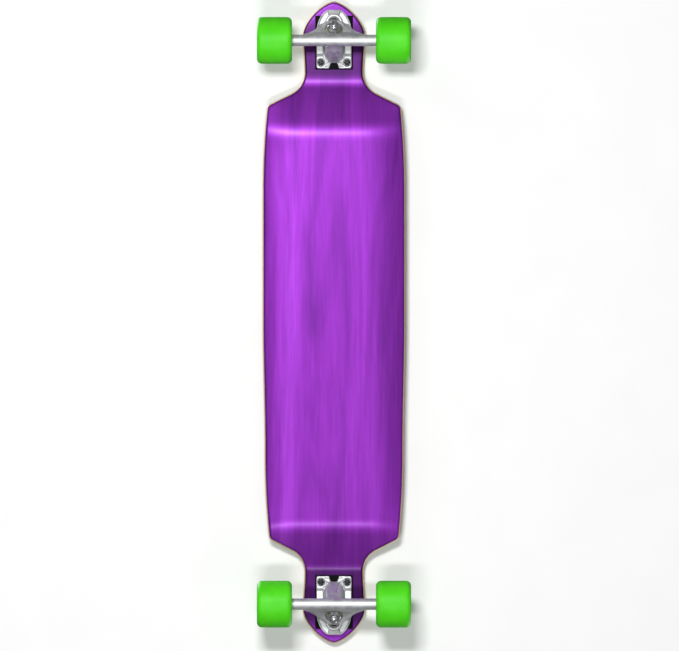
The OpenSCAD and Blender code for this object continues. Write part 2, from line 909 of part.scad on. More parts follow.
module bearing_balls() {
    color("#e3e5e7")
        ball_places()
            sphere(r = ball_radius, $fn = 24);
}

module ball_cages() {
    color("#c8b060")
        at_bearings()
            difference() {
                cylinder(r = 8.3, h = 5.2, center = true);
                cylinder(r = 6.7, h = 6, center = true);
                for (i = [0:ball_count - 1])
                    rotate([0, 0, i * 360 / ball_count])
                        translate([5, 0, 0])
                            rotate([0, 90, 0])
                                cylinder(r = ball_radius + clearance, h = 5);
            }
}

module wheel_frame(end, side) {
    translate([end * axle_x, side * wheel_y, axle_z])
        rotate([-90, 0, 0])
            children();
}

// ---- The board ----

deck_core();
deck_bottom_veneer();
grip_tape();
mounting_bolts();
mounting_nuts();

truck_frame(1) riser_pad();  // front_riser_pad
truck_frame(1) baseplate();  // front_baseplate
truck_frame(1) pivot_cup();  // front_pivot_cup
truck_frame(1) kingpin();  // front_kingpin
truck_frame(1) kingpin_nut();  // front_kingpin_nut
truck_frame(1) boardside_washer();  // front_boardside_washer
truck_frame(1) roadside_washer();  // front_roadside_washer
truck_frame(1) boardside_bushing();  // front_boardside_bushing
truck_frame(1) roadside_bushing();  // front_roadside_bushing
truck_frame(1) hanger();  // front_hanger
truck_frame(1) axle();  // front_axle
truck_frame(1) speed_rings();  // front_speed_rings
truck_frame(1) bearing_spacers();  // front_bearing_spacers
truck_frame(1) axle_nuts();  // front_axle_nuts
truck_frame(1) bearing_inner_rings();  // front_bearing_inner_rings

truck_frame(-1) riser_pad();  // rear_riser_pad
truck_frame(-1) baseplate();  // rear_baseplate
truck_frame(-1) pivot_cup();  // rear_pivot_cup
truck_frame(-1) kingpin();  // rear_kingpin
truck_frame(-1) kingpin_nut();  // rear_kingpin_nut
truck_frame(-1) boardside_washer();  // rear_boardside_washer
truck_frame(-1) roadside_washer();  // rear_roadside_washer
truck_frame(-1) boardside_bushing();  // rear_boardside_bushing
truck_frame(-1) roadside_bushing();  // rear_roadside_bushing
truck_frame(-1) hanger();  // rear_hanger
truck_frame(-1) axle();  // rear_axle
truck_frame(-1) speed_rings();  // rear_speed_rings
truck_frame(-1) bearing_spacers();  // rear_bearing_spacers
truck_frame(-1) axle_nuts();  // rear_axle_nuts
truck_frame(-1) bearing_inner_rings();  // rear_bearing_inner_rings

wheel_frame(1, 1) wheel_tyre();  // front_left_wheel
wheel_frame(1, 1) hub_core();  // front_left_hub_core
wheel_frame(1, 1) bearing_outer_rings();  // front_left_bearing_outer_rings
wheel_frame(1, 1) bearing_shields();  // front_left_bearing_shields
wheel_frame(1, 1) bearing_balls();  // front_left_bearing_balls
wheel_frame(1, 1) ball_cages();  // front_left_ball_cages

wheel_frame(1, -1) wheel_tyre();  // front_right_wheel
wheel_frame(1, -1) hub_core();  // front_right_hub_core
wheel_frame(1, -1) bearing_outer_rings();  // front_right_bearing_outer_rings
wheel_frame(1, -1) bearing_shields();  // front_right_bearing_shields
wheel_frame(1, -1) bearing_balls();  // front_right_bearing_balls
wheel_frame(1, -1) ball_cages();  // front_right_ball_cages

wheel_frame(-1, 1) wheel_tyre();  // rear_left_wheel
wheel_frame(-1, 1) hub_core();  // rear_left_hub_core
wheel_frame(-1, 1) bearing_outer_rings();  // rear_left_bearing_outer_rings
wheel_frame(-1, 1) bearing_shields();  // rear_left_bearing_shields
wheel_frame(-1, 1) bearing_balls();  // rear_left_bearing_balls
wheel_frame(-1, 1) ball_cages();  // rear_left_ball_cages

wheel_frame(-1, -1) wheel_tyre();  // rear_right_wheel
wheel_frame(-1, -1) hub_core();  // rear_right_hub_core
wheel_frame(-1, -1) bearing_outer_rings();  // rear_right_bearing_outer_rings
wheel_frame(-1, -1) bearing_shields();  // rear_right_bearing_shields
wheel_frame(-1, -1) bearing_balls();  // rear_right_bearing_balls
wheel_frame(-1, -1) ball_cages();  // rear_right_ball_cages
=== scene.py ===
import math

import bmesh
import bpy
from mathutils import Matrix, Vector


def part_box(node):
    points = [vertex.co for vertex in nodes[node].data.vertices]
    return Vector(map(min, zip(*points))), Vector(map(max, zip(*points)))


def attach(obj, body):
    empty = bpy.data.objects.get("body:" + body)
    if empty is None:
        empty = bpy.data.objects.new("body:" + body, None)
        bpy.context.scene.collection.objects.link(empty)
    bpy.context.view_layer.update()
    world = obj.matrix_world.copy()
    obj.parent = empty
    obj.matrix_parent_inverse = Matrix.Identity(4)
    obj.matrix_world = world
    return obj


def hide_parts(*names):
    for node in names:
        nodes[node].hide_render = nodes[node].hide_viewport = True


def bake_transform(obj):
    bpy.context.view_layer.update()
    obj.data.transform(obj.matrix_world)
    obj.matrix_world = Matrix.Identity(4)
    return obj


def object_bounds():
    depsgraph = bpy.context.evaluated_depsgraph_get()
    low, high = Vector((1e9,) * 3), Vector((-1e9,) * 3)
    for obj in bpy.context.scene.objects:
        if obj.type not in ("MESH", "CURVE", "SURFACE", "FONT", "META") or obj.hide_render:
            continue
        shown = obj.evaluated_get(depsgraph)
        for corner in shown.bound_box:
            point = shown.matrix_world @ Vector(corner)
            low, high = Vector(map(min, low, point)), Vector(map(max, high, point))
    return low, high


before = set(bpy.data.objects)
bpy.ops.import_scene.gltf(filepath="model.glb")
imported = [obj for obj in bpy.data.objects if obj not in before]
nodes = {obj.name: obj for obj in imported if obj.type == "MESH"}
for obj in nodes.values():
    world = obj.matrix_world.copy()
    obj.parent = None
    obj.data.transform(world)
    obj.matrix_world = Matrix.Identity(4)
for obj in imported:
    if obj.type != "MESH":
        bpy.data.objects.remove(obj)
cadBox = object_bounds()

# Dropped-platform longboard, looked at from below with its nose up.
# Metres throughout; +X is the nose, +Y the rider's left, +Z up.

scene = bpy.context.scene
ends = {"front": 1, "rear": -1}
sides = {"left": 1, "right": -1}


def middleOf(name):
    low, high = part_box(name)
    return (low + high) / 2


def link(name, mesh):
    made = bpy.data.objects.new(name, mesh)
    scene.collection.objects.link(made)
    return made


def dropObject(unwanted):
    mesh = unwanted.data
    bpy.data.objects.remove(unwanted)
    if mesh is not None and mesh.users == 0:
        bpy.data.meshes.remove(mesh)


def hexLinear(text):
    # sRGB hex to the linear colour that a shader takes
    channels = [int(text[i:i + 2], 16) / 255 for i in (1, 3, 5)]
    return tuple(c / 12.92 if c <= 0.04045 else ((c + 0.055) / 1.055) ** 2.4 for c in channels) + (1.0,)


def addNode(tree, kind, settings=None, inputs=None):
    # One node, with its settings, and each input either linked or given a value
    made = tree.nodes.new(kind)
    for key, value in (settings or {}).items():
        setattr(made, key, value)
    for key, value in (inputs or {}).items():
        if isinstance(value, bpy.types.Node):
            tree.links.new(value.outputs[0], made.inputs[key])
        elif isinstance(value, bpy.types.NodeSocket):
            tree.links.new(value, made.inputs[key])
        else:
            made.inputs[key].default_value = value
    return made


def newMaterial(name):
    material = bpy.data.materials.new(name)
    material.use_nodes = True
    material.node_tree.nodes.clear()
    return material, material.node_tree


def surface(tree, settings):
    # Principled surface with its constant numbers on its own sockets
    shader = addNode(tree, "ShaderNodeBsdfPrincipled", None, settings)
    addNode(tree, "ShaderNodeOutputMaterial", None, {"Surface": shader})
    return shader


def stretched(tree, scale, turn=0.0, shift=(0.0, 0.0, 0.0)):
    # Object coordinates, stretched for a grain or a brushed finish
    place = addNode(tree, "ShaderNodeTexCoord")
    return addNode(tree, "ShaderNodeMapping", None, {
        "Vector": place.outputs["Object"], "Scale": scale, "Rotation": (0, 0, turn), "Location": shift})


def ramp(tree, source, stops, interpolation="LINEAR"):
    made = addNode(tree, "ShaderNodeValToRGB", None, {"Fac": source})
    made.color_ramp.interpolation = interpolation
    elements = made.color_ramp.elements
    while len(elements) < len(stops):
        elements.new(0.5)
    for element, (place, colour) in zip(elements, stops):
        element.position = place
        element.color = colour
    return made


def noiseFor(tree, vector, scale, detail=3.0, roughness=0.5, distortion=0.0):
    return addNode(tree, "ShaderNodeTexNoise", None, {
        "Vector": vector, "Scale": scale, "Detail": detail, "Roughness": roughness, "Distortion": distortion})


def grey(level):
    return (level, level, level, 1.0)


def mixed(tree, share, a, b, blend="MIX"):
    # Sockets 6 and 7 are the two colours of a Mix node set to colour
    made = addNode(tree, "ShaderNodeMix", {"data_type": "RGBA", "blend_type": blend}, {0: share, 6: a, 7: b})
    return made.outputs[2]


def bumped(tree, height, distance, strength):
    return addNode(tree, "ShaderNodeBump", None, {
        "Height": height, "Distance": distance, "Strength": strength})


stain = {
    "dark": "#611F82", "middle": "#7E2AA1", "light": "#8F38B6",
    "bandWidth": 0.042,      # width of the light and dark bands of the ply's figure
    "bandLength": 0.60,
    "cellBands": 1.6,        # the noise's cells are this many bands wide
    "bandTurn": 0.09, "figureTurn": -0.04,     # how far each runs off the board's line, in radians
    "figureScale": (5.5, 95, 1),               # the finer figure's repeats in a metre
    "grainWidth": 0.0040,    # real maple grain is about 0.5 mm wide, drawn coarser so that it shows
    "grainLength": 0.060,
    # (share of the board's half length, how much of the stain's colour is kept there: painted shade, darker
    # on the slopes, darkest on the truck platforms and lighter again at the tips)
    "depth": [(0.57, 1.0), (0.66, 0.94), (0.74, 0.82), (0.78, 0.26), (0.91, 0.26), (0.965, 0.80)],
}


def stainedMaple():
    # Rotary-cut maple ply, stained purple under a clear lacquer: long streaks of light and
    # dark stain, fine grain along the board, a soft shine that glows from the fibres, and
    # painted shade that darkens the slopes and the truck platforms
    material, tree = newMaterial("stainedMaple")
    bandScale = (1 / stain["bandLength"], 1 / stain["bandWidth"] / stain["cellBands"], 1)
    bands = noiseFor(tree, stretched(tree, bandScale, stain["bandTurn"], (0.37, 0.2, 0)), 1.0, 3.0, 0.55, 1.0)
    figure = noiseFor(tree, stretched(tree, stain["figureScale"], stain["figureTurn"], (1.3, 0.7, 0)),
                      1.0, 4.0, 0.65, 0.6)
    grain = noiseFor(tree, stretched(tree, (1 / stain["grainLength"], 1 / stain["grainWidth"], 1)),
                     1.0, 3.0, 0.65)
    stained = ramp(tree, bands, [(0.30, hexLinear(stain["dark"])), (0.52, hexLinear(stain["middle"])),
                                 (0.74, hexLinear(stain["light"]))])
    figured = ramp(tree, figure, [(0.34, grey(0.84)), (0.66, grey(1.10))])
    lined = ramp(tree, grain, [(0.32, grey(0.82)), (0.62, grey(1.06))])
    tint = mixed(tree, 0.55, mixed(tree, 0.55, stained, figured, "MULTIPLY"), lined, "MULTIPLY")
    # Painted shade: the colour is darker on the slopes and much darker on the truck platforms, where the
    # trucks and wheels shade it, and lighter again at the tips
    place = addNode(tree, "ShaderNodeTexCoord")
    split = addNode(tree, "ShaderNodeSeparateXYZ", None, {0: place.outputs["Object"]})
    distance = addNode(tree, "ShaderNodeMath", {"operation": "ABSOLUTE"}, {0: split.outputs[0]})
    share = addNode(tree, "ShaderNodeMath", {"operation": "DIVIDE"}, {0: distance, 1: deck["length"] / 2})
    # Painted shade by position along the board, multiplied into the stain's colour
    paintedShade = ramp(tree, share, [(at, grey(level)) for at, level in stain["depth"]], "EASE")
    tint = mixed(tree, 1.0, tint, paintedShade, "MULTIPLY")
    surface(tree, {"Base Color": tint, "Metallic": 0.5, "Roughness": 0.37, "Coat Weight": 0.13,
                   "Specular IOR Level": 0.05, "Coat Roughness": 0.2, "Coat IOR": 1.5,
                   "Normal": bumped(tree, grain, 0.00008, 0.35)})
    return material


def mapleEdge():
    # Sanded edge of pressed maple plies: pale and darker plies by turns, thin glue lines
    material, tree = newMaterial("mapleEdge")
    height = addNode(tree, "ShaderNodeAttribute", {"attribute_name": "plyHeight"})
    layers = addNode(tree, "ShaderNodeMath", {"operation": "MULTIPLY"},
                     {0: height.outputs["Fac"], 1: deck["plies"] / deck["thickness"]})
    within = addNode(tree, "ShaderNodeMath", {"operation": "FRACT"}, {0: layers})
    glue = ramp(tree, within, [(0.0, grey(0.62)), (0.08, grey(1.0)), (0.92, grey(1.0)), (1.0, grey(0.62))])
    crossed = addNode(tree, "ShaderNodeMath", {"operation": "PINGPONG"}, {0: layers, 1: 1.0})
    ply = ramp(tree, crossed, [(0.45, hexLinear("#F3D9B4")), (0.55, hexLinear("#E2BC8C"))])
    grain = noiseFor(tree, stretched(tree, (45, 45, 900)), 1.0, 3.0, 0.6)
    toned = ramp(tree, grain, [(0.3, grey(0.82)), (0.7, grey(1.08))])
    tint = mixed(tree, 1.0, mixed(tree, 0.8, ply, toned, "MULTIPLY"), glue, "MULTIPLY")
    surface(tree, {"Base Color": tint, "Roughness": 0.55, "Coat Weight": 0.25, "Coat Roughness": 0.25,
                   "Normal": bumped(tree, grain, 0.0001, 0.4)})
    return material


def gritPaper():
    # Silicon carbide grip tape: near black, with grains of about 0.3 mm, drawn at 0.8 mm so
    # that they show, and a faint sparkle
    material, tree = newMaterial("gritPaper")
    place = addNode(tree, "ShaderNodeTexCoord")
    grit = addNode(tree, "ShaderNodeTexVoronoi", None, {"Vector": place.outputs["Object"], "Scale": 1250.0})
    worn = noiseFor(tree, place.outputs["Object"], 14.0, 3.0, 0.6)
    speckle = ramp(tree, grit.outputs["Color"], [(0.25, grey(0.010)), (0.80, grey(0.030)), (1.0, grey(0.11))])
    dust = ramp(tree, worn, [(0.40, grey(0.85)), (0.72, grey(1.5))])
    shine = ramp(tree, grit.outputs["Color"], [(0.3, grey(0.95)), (1.0, grey(0.45))])
    surface(tree, {"Base Color": mixed(tree, 1.0, speckle, dust, "MULTIPLY"), "Roughness": shine,
                   "Normal": bumped(tree, grit.outputs["Distance"], 0.0004, 0.8)})
    return material


def castAluminium():
    # Gravity-cast aluminium, tumbled: mid silver grey, with a faint orange peel of about 2 mm
    # and small rough patches that break up its reflections
    material, tree = newMaterial("castAluminium")
    place = addNode(tree, "ShaderNodeTexCoord")
    peel = noiseFor(tree, place.outputs["Object"], 420.0, 2.0, 0.5)
    patches = noiseFor(tree, place.outputs["Object"], 90.0, 3.0, 0.6)
    tone = ramp(tree, patches, [(0.3, hexLinear("#BEC0C2")), (0.7, hexLinear("#DADBDD"))])
    rough = ramp(tree, patches, [(0.3, grey(0.46)), (0.7, grey(0.56))])
    surface(tree, {"Base Color": tone, "Metallic": 0.70, "Roughness": rough,
                   "Normal": bumped(tree, peel, 0.00004, 0.25)})
    return material


def turnedSteel(name, colour, roughness, lines=700.0):
    # Zinc-plated turned steel: bright, with fine turning lines round the axle
    material, tree = newMaterial(name)
    turned = noiseFor(tree, stretched(tree, (40, lines, 40)), 1.0, 2.0, 0.5)
    tone = ramp(tree, turned, [(0.3, hexLinear(colour)), (0.7, hexLinear("#E4E5E8"))])
    rough = ramp(tree, turned, [(0.3, grey(roughness)), (0.7, grey(roughness + 0.12))])
    surface(tree, {"Base Color": tone, "Metallic": 1.0, "Roughness": rough,
                   "Normal": bumped(tree, turned, 0.00005, 0.3)})
    return material


def blackenedSteel():
    # Black oxide on steel: near black, worn to dark grey in small spots
    material, tree = newMaterial("blackenedSteel")
    place = addNode(tree, "ShaderNodeTexCoord")
    spots = noiseFor(tree, place.outputs["Object"], 700.0, 4.0, 0.6)
    tone = ramp(tree, spots, [(0.35, hexLinear("#17171A")), (0.75, hexLinear("#3A3A40"))])
    surface(tree, {"Base Color": tone, "Metallic": 0.8, "Roughness": 0.42,
                   "Normal": bumped(tree, spots, 0.00004, 0.3)})
    return material


def soft(name, light, dark, roughness, grainSize, depth, settings=None):
    # Moulded or poured plastic and rubber: one colour with slow variation and a fine skin
    material, tree = newMaterial(name)
    place = addNode(tree, "ShaderNodeTexCoord")
    slow = noiseFor(tree, place.outputs["Object"], 35.0, 2.0, 0.5)
    fine = noiseFor(tree, place.outputs["Object"], 1 / grainSize, 3.0, 0.6)
    tone = ramp(tree, slow, [(0.3, hexLinear(dark)), (0.7, hexLinear(light))])
    rough = ramp(tree, fine, [(0.3, grey(roughness - 0.04)), (0.7, grey(roughness + 0.06))])
    surface(tree, {"Base Color": tone, "Roughness": rough, "Normal": bumped(tree, fine, depth, 0.4),
                   **(settings or {})})
    return material


deck = {
    "length": 1.016, "width": 0.226, "tailTaper": 0.006, "neckWidth": 0.094,
    "thickness": 0.012, "plies": 7, "veneer": 0.0012, "grip": 0.0009,
    "gripInset": 0.0003, "gripTopInset": 0.0008, "gripWall": 0.7,     # the wall is a share of its thickness
    "edgeRound": 0.005, "topRound": 0.003,
    "drop": 0.022, "concaveRise": 0.006, "concaveFade": 0.040, "flatHalf": 0.050,
    "axleX": 0.445, "noseHighBend": 0.067, "tailHighBend": 0.057,
    "noseSlope": 0.074, "tailSlope": 0.067,
    "lowBendHalf": 0.013, "highBendHalf": 0.008,
    "stationStep": 0.006, "columns": 34, "tipHalf": 0.0002,
}
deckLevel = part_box("deck_bottom_veneer")[0].z + deck["drop"]


def clamp01(t):
    return min(1.0, max(0.0, t))


def smoothStep(t):
    t = clamp01(t)
    return t * t * (3 - 2 * t)


def endOutline():
    # One end's half outline from the board's middle to its tip, as (distance, half width)
    neckHalf = deck["neckWidth"] / 2
    noseHalf, noseLength = neckHalf + 0.0027, 0.051
    halfLength = deck["length"] / 2
    noseStart = halfLength - noseLength
    filletRadius, shoulderRadius = 0.037, 0.010
    flank, shoulderTurn = math.radians(63.4), math.radians(5.7)
    filletInboard, taperLength, bow = 0.0495, 0.165, 2.6
    filletStart = deck["axleX"] - filletInboard
    cornerX = filletStart - filletRadius * math.tan(flank / 2)
    taperStart = cornerX - taperLength
    platformHalf = deck["width"] / 2

    def platformEdge(d):
        return platformHalf - max(0.0, d - taperStart) ** 2 / bow

    shoulderX = cornerX - 0.030
    for _ in range(40):
        gap = neckHalf + (cornerX - shoulderX) * math.tan(flank) - platformEdge(shoulderX)
        shoulderX += gap / math.tan(flank)
    start = shoulderX - shoulderRadius * math.tan((flank - shoulderTurn) / 2)
    centreY = platformEdge(start) - shoulderRadius * math.cos(shoulderTurn)
    centreX = start - shoulderRadius * math.sin(shoulderTurn)
    points = []
    platformEnd = start - 0.002
    count = int(platformEnd / deck["stationStep"])
    for i in range(count + 1):
        d = platformEnd * i / count
        points.append((d, platformEdge(d)))
    for i in range(13):
        a = shoulderTurn + (flank - shoulderTurn) * i / 12
        points.append((centreX + shoulderRadius * math.sin(a), centreY + shoulderRadius * math.cos(a)))
    for i in range(17):
        a = flank * (1 - i / 16)
        points.append((filletStart - filletRadius * math.sin(a), neckHalf + filletRadius * (1 - math.cos(a))))
    for i in range(1, 10):
        t = i / 10
        points.append((filletStart + (noseStart - filletStart) * t,
                       neckHalf + (noseHalf - neckHalf) * smoothStep(t)))
    for i in range(31):
        a = math.radians(88.9 * i / 30)
        points.append((noseStart + noseLength * math.sin(a) ** 1.333, noseHalf * math.cos(a) ** 1.314))
    points.append((halfLength, deck["tipHalf"]))
    return points, filletStart


def deckOutline():
    # Tail tip to nose tip as (x, half width, outward normal)
    points, filletStart = endOutline()

    def tailTrim(d):
        return deck["tailTaper"] / 2 * smoothStep(d / 0.2) * smoothStep((filletStart + 0.002 - d) / 0.06)

    line = [(-d, half - tailTrim(d)) for d, half in reversed(points[1:])] + points
    spaced = []
    for i, (x, half) in enumerate(line):
        before, after = line[max(0, i - 1)], line[min(len(line) - 1, i + 1)]
        run, rise = after[0] - before[0], after[1] - before[1]
        size = math.hypot(run, rise)
        normal = (-rise / size, run / size)
        if i == 0:
            normal = (-1.0, 0.0)
        if i == len(line) - 1:
            normal = (1.0, 0.0)
        spaced.append((x, half, normal))
    return spaced


outline = deckOutline()


def edgeInset(t):
    low, high = deck["edgeRound"], deck["topRound"]
    if t < low:
        return low - math.sqrt(max(0.0, low * low - (low - t) ** 2))
    if t > deck["thickness"] - high:
        return high - math.sqrt(max(0.0, high * high - (t - deck["thickness"] + high) ** 2))
    return 0.0


def insetOutline(inset):
    # The outline drawn in, cut off where its two sides would cross at the tips
    least = deck["tipHalf"]
    line = [(x - inset * normal[0], half - inset * normal[1]) for x, half, normal in outline]
    middle = len(line) // 2
    for order in (range(middle, len(line)), range(middle, -1, -1)):
        stop = None
        for i in order:
            x, half = line[i]
            if stop is None and half < least:
                x0, half0 = line[i - order.step]
                stop = x0 + (x - x0) * (half0 - least) / (half0 - half)
            if stop is not None:
                line[i] = (stop + order.step * 1e-6 * abs(i - middle), least)
    return line


def flatBlank(name, levels):
    # A flat layer of the deck before pressing: a closed slab whose Z is the height above the
    # underside. Levels are (height, inset) pairs from the bottom to the top.
    columns = deck["columns"]
    shares = [math.sin(math.pi / 2 * (2 * j / columns - 1)) for j in range(columns + 1)]
    lines = {inset: insetOutline(inset) for _, inset in levels}
    ring = [(s, levels[0]) for s in shares] + [(1.0, level) for level in levels[1:-1]]
    ring += [(s, levels[-1]) for s in reversed(shares)] + [(-1.0, level) for level in reversed(levels[1:-1])]
    size = len(ring)
    points = []
    for i in range(len(outline)):
        for share, (height, inset) in ring:
            x, half = lines[inset][i]
            points.append((x, share * half, height))
    faces = []
    for i in range(len(outline) - 1):
        for j in range(size):
            k = (j + 1) % size
            faces.append((i * size + j, i * size + k, (i + 1) * size + k, (i + 1) * size + j))
    faces.append(tuple(range(size)))
    faces.append(tuple((len(outline) - 1) * size + j for j in reversed(range(size))))
    mesh = bpy.data.meshes.new(name)
    mesh.from_pydata(points, [], faces)
    heights = mesh.attributes.new("plyHeight", "FLOAT", "POINT")
    heights.data.foreach_set("value", [p[2] for p in points])
    work = bmesh.new()
    work.from_mesh(mesh)
    bmesh.ops.recalc_face_normals(work, faces=work.faces)
    work.to_mesh(mesh)
    work.free()
    return link(name, mesh)


def geometryTree(name, inputs):
    tree = bpy.data.node_groups.new(name, "GeometryNodeTree")
    tree.interface.new_socket("Geometry", in_out="INPUT", socket_type="NodeSocketGeometry")
    for label, kind in inputs:
        tree.interface.new_socket(label, in_out="INPUT", socket_type=kind)
    tree.interface.new_socket("Geometry", in_out="OUTPUT", socket_type="NodeSocketGeometry")
    start = addNode(tree, "NodeGroupInput")
    return tree, start


def finishTree(tree, geometry, start):
    # Every tree ends in Realize Instances and Set Material
    real = addNode(tree, "GeometryNodeRealizeInstances", None, {"Geometry": geometry})
    painted = addNode(tree, "GeometryNodeSetMaterial", None, {"Geometry": real,
                                                              "Material": start.outputs["Material"]})
    addNode(tree, "NodeGroupOutput", None, {"Geometry": painted})


def applyTree(piece, tree, values):
    # Sets the tree's inputs by their identifiers, then turns the result into a plain mesh
    modifier = piece.modifiers.new("build", "NODES")
    modifier.node_group = tree
    for item in tree.interface.items_tree:
        if item.in_out == "INPUT" and item.name in values:
            modifier[item.identifier] = values[item.name]
    graph = bpy.context.evaluated_depsgraph_get()
    mesh = bpy.data.meshes.new_from_object(piece.evaluated_get(graph), depsgraph=graph)
    piece.modifiers.remove(modifier)
    old = piece.data
    piece.data = mesh
    bpy.data.meshes.remove(old)
    mesh.name = piece.name


def pressTree():
    # Presses a flat blank: two bends at each end of the dropped platform, and a concave that
    # lifts the platform's long edges and fades out before the truck platforms
    numbers = ["Deck Level", "Platform Drop", "Nose Low Bend", "Nose High Bend", "Tail Low Bend",
               "Tail High Bend", "Low Bend Half", "High Bend Half", "Concave Rise", "Flat Half", "Board Half"]
    tree, start = geometryTree("deckPress", [(label, "NodeSocketFloat") for label in numbers]
                               + [("Material", "NodeSocketMaterial")])
    size = start.outputs

    def calc(operation, a, b=0.0, c=0.0):
        return addNode(tree, "ShaderNodeMath", {"operation": operation}, {0: a, 1: b, 2: c}).outputs[0]

    def softRamp(t, half):
        # Zero before -half, t after half, and a parabola between
        inside = calc("MINIMUM", calc("MAXIMUM", calc("ADD", t, half), 0.0), calc("MULTIPLY", half, 2.0))
        bend = calc("DIVIDE", calc("MULTIPLY", inside, inside), calc("MULTIPLY", half, 4.0))
        return calc("ADD", bend, calc("MAXIMUM", calc("SUBTRACT", t, half), 0.0))

    place = addNode(tree, "ShaderNodeSeparateXYZ", None, {0: addNode(tree, "GeometryNodeInputPosition")})
    along, across, height = place.outputs[0], place.outputs[1], place.outputs[2]
    distance = calc("ABSOLUTE", along)
    isNose = calc("GREATER_THAN", along, 0.0)

    def atEnd(nose, tail):
        return calc("ADD", tail, calc("MULTIPLY", isNose, calc("SUBTRACT", nose, tail)))

    low = atEnd(size["Nose Low Bend"], size["Tail Low Bend"])
    high = atEnd(size["Nose High Bend"], size["Tail High Bend"])
    run = calc("SUBTRACT", high, low)
    climbed = calc("SUBTRACT", softRamp(calc("SUBTRACT", distance, low), size["Low Bend Half"]),
                   softRamp(calc("SUBTRACT", distance, high), size["High Bend Half"]))
    drop = calc("MULTIPLY", size["Platform Drop"], calc("SUBTRACT", 1.0, calc("DIVIDE", climbed, run)))
    fadeShare = calc("DIVIDE", calc("SUBTRACT", high, distance), calc("ADD", run, deck["concaveFade"]))
    fade = addNode(tree, "ShaderNodeMapRange", {"interpolation_type": "SMOOTHSTEP"},
                   {"Value": fadeShare}).outputs[0]
    pastFlat = calc("MAXIMUM", calc("SUBTRACT", calc("ABSOLUTE", across), size["Flat Half"]), 0.0)
    beyond = calc("DIVIDE", pastFlat, calc("SUBTRACT", size["Board Half"], size["Flat Half"]))
    rise = calc("MULTIPLY", calc("MULTIPLY", size["Concave Rise"], fade), calc("MULTIPLY", beyond, beyond))
    level = calc("ADD", calc("SUBTRACT", size["Deck Level"], drop), calc("ADD", rise, height))
    pressed = addNode(tree, "ShaderNodeCombineXYZ", None, {0: along, 1: across, 2: level})
    moved = addNode(tree, "GeometryNodeSetPosition", None, {"Geometry": start.outputs["Geometry"],
                                                            "Position": pressed})
    finishTree(tree, moved, start)
    return tree


def shadeByAngle(piece, degrees):
    piece.data.shade_smooth()
    piece.data.set_sharp_from_angle(angle=math.radians(degrees))


def cutHoles(piece, radius, low, high, name):
    # Round holes at the mounting bolts, cut with one set of plugs
    work = bmesh.new()
    for x, y in boltPlaces():
        bmesh.ops.create_cone(work, cap_ends=True, segments=32, radius1=radius, radius2=radius,
                              depth=high - low, matrix=Matrix.Translation((x, y, (low + high) / 2)))
    mesh = bpy.data.meshes.new(name)
    work.to_mesh(mesh)
    work.free()
    plugs = link(name, mesh)
    cut = piece.modifiers.new("holes", "BOOLEAN")
    cut.operation = "DIFFERENCE"
    cut.solver = "EXACT"
    cut.object = plugs
    graph = bpy.context.evaluated_depsgraph_get()
    made = bpy.data.meshes.new_from_object(piece.evaluated_get(graph), depsgraph=graph)
    piece.modifiers.remove(cut)
    old = piece.data
    piece.data = made
    bpy.data.meshes.remove(old)
    dropObject(plugs)


hardware = {
    "inboard": 0.034, "length": 0.054, "width": 0.0413,   # hole pattern of each truck
    "boltDiameter": 0.0048, "headRadius": 0.0047, "headHeight": 0.0026, "headProud": 0.0004,
    "boltLength": 0.0283, "crossLength": 0.0050, "crossWidth": 0.0011, "crossDepth": 0.0016,
    "nutAcross": 0.0096, "nutHeight": 0.005, "collarHeight": 0.0018,
    "headClearance": 0.0005, "plugHeights": (0.10, 0.14),   # the grip tape's holes and what cuts them
}


def boltPlaces():
    places = []
    for end in ends.values():
        for row in (0.0, hardware["length"]):
            x = end * (deck["axleX"] - hardware["inboard"] + row)
            for side in (1, -1):
                places.append((x, side * hardware["width"] / 2))
    return places


def pressDeck(materials):
    press = pressTree()
    values = {
        "Deck Level": deckLevel, "Platform Drop": deck["drop"],
        "Nose Low Bend": deck["axleX"] - deck["noseHighBend"] - deck["noseSlope"],
        "Nose High Bend": deck["axleX"] - deck["noseHighBend"],
        "Tail Low Bend": deck["axleX"] - deck["tailHighBend"] - deck["tailSlope"],
        "Tail High Bend": deck["axleX"] - deck["tailHighBend"],
        "Low Bend Half": deck["lowBendHalf"], "High Bend Half": deck["highBendHalf"],
        "Concave Rise": deck["concaveRise"], "Flat Half": deck["flatHalf"], "Board Half": deck["width"] / 2,
    }
    thickness, veneer, grip = deck["thickness"], deck["veneer"], deck["grip"]
    low, high = deck["edgeRound"], deck["topRound"]
    roundLow = [veneer + (low - veneer) * i / 5 for i in range(6)]
    roundHigh = [thickness - high + high * math.sin(math.pi / 2 * i / 5) for i in range(6)]
    veneerLevels = [(veneer * (i / 4) ** 2, edgeInset(veneer * (i / 4) ** 2)) for i in range(5)]
    coreLevels = [(t, edgeInset(t)) for t in roundLow + roundHigh]
    wallInset, topInset = high + deck["gripInset"], high + deck["gripTopInset"]
    gripLevels = [(thickness, wallInset), (thickness + grip * deck["gripWall"], wallInset),
                  (thickness + grip, topInset)]
    for name, levels, material, replaced in (
            ("deckPlies", coreLevels, "mapleEdge", "deck_core"),
            ("deckVeneer", veneerLevels, "stainedMaple", "deck_bottom_veneer"),
            ("gripSheet", gripLevels, "gritPaper", "grip_tape")):
        piece = flatBlank(name, levels)
        applyTree(piece, press, {**values, "Material": materials[material]})
        if name == "gripSheet":
            low, high = hardware["plugHeights"]
            cutHoles(piece, hardware["headRadius"] + hardware["headClearance"], low, high, "gripHolePlugs")
        shadeByAngle(piece, 40)
        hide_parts(replaced)
        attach(piece, "board")


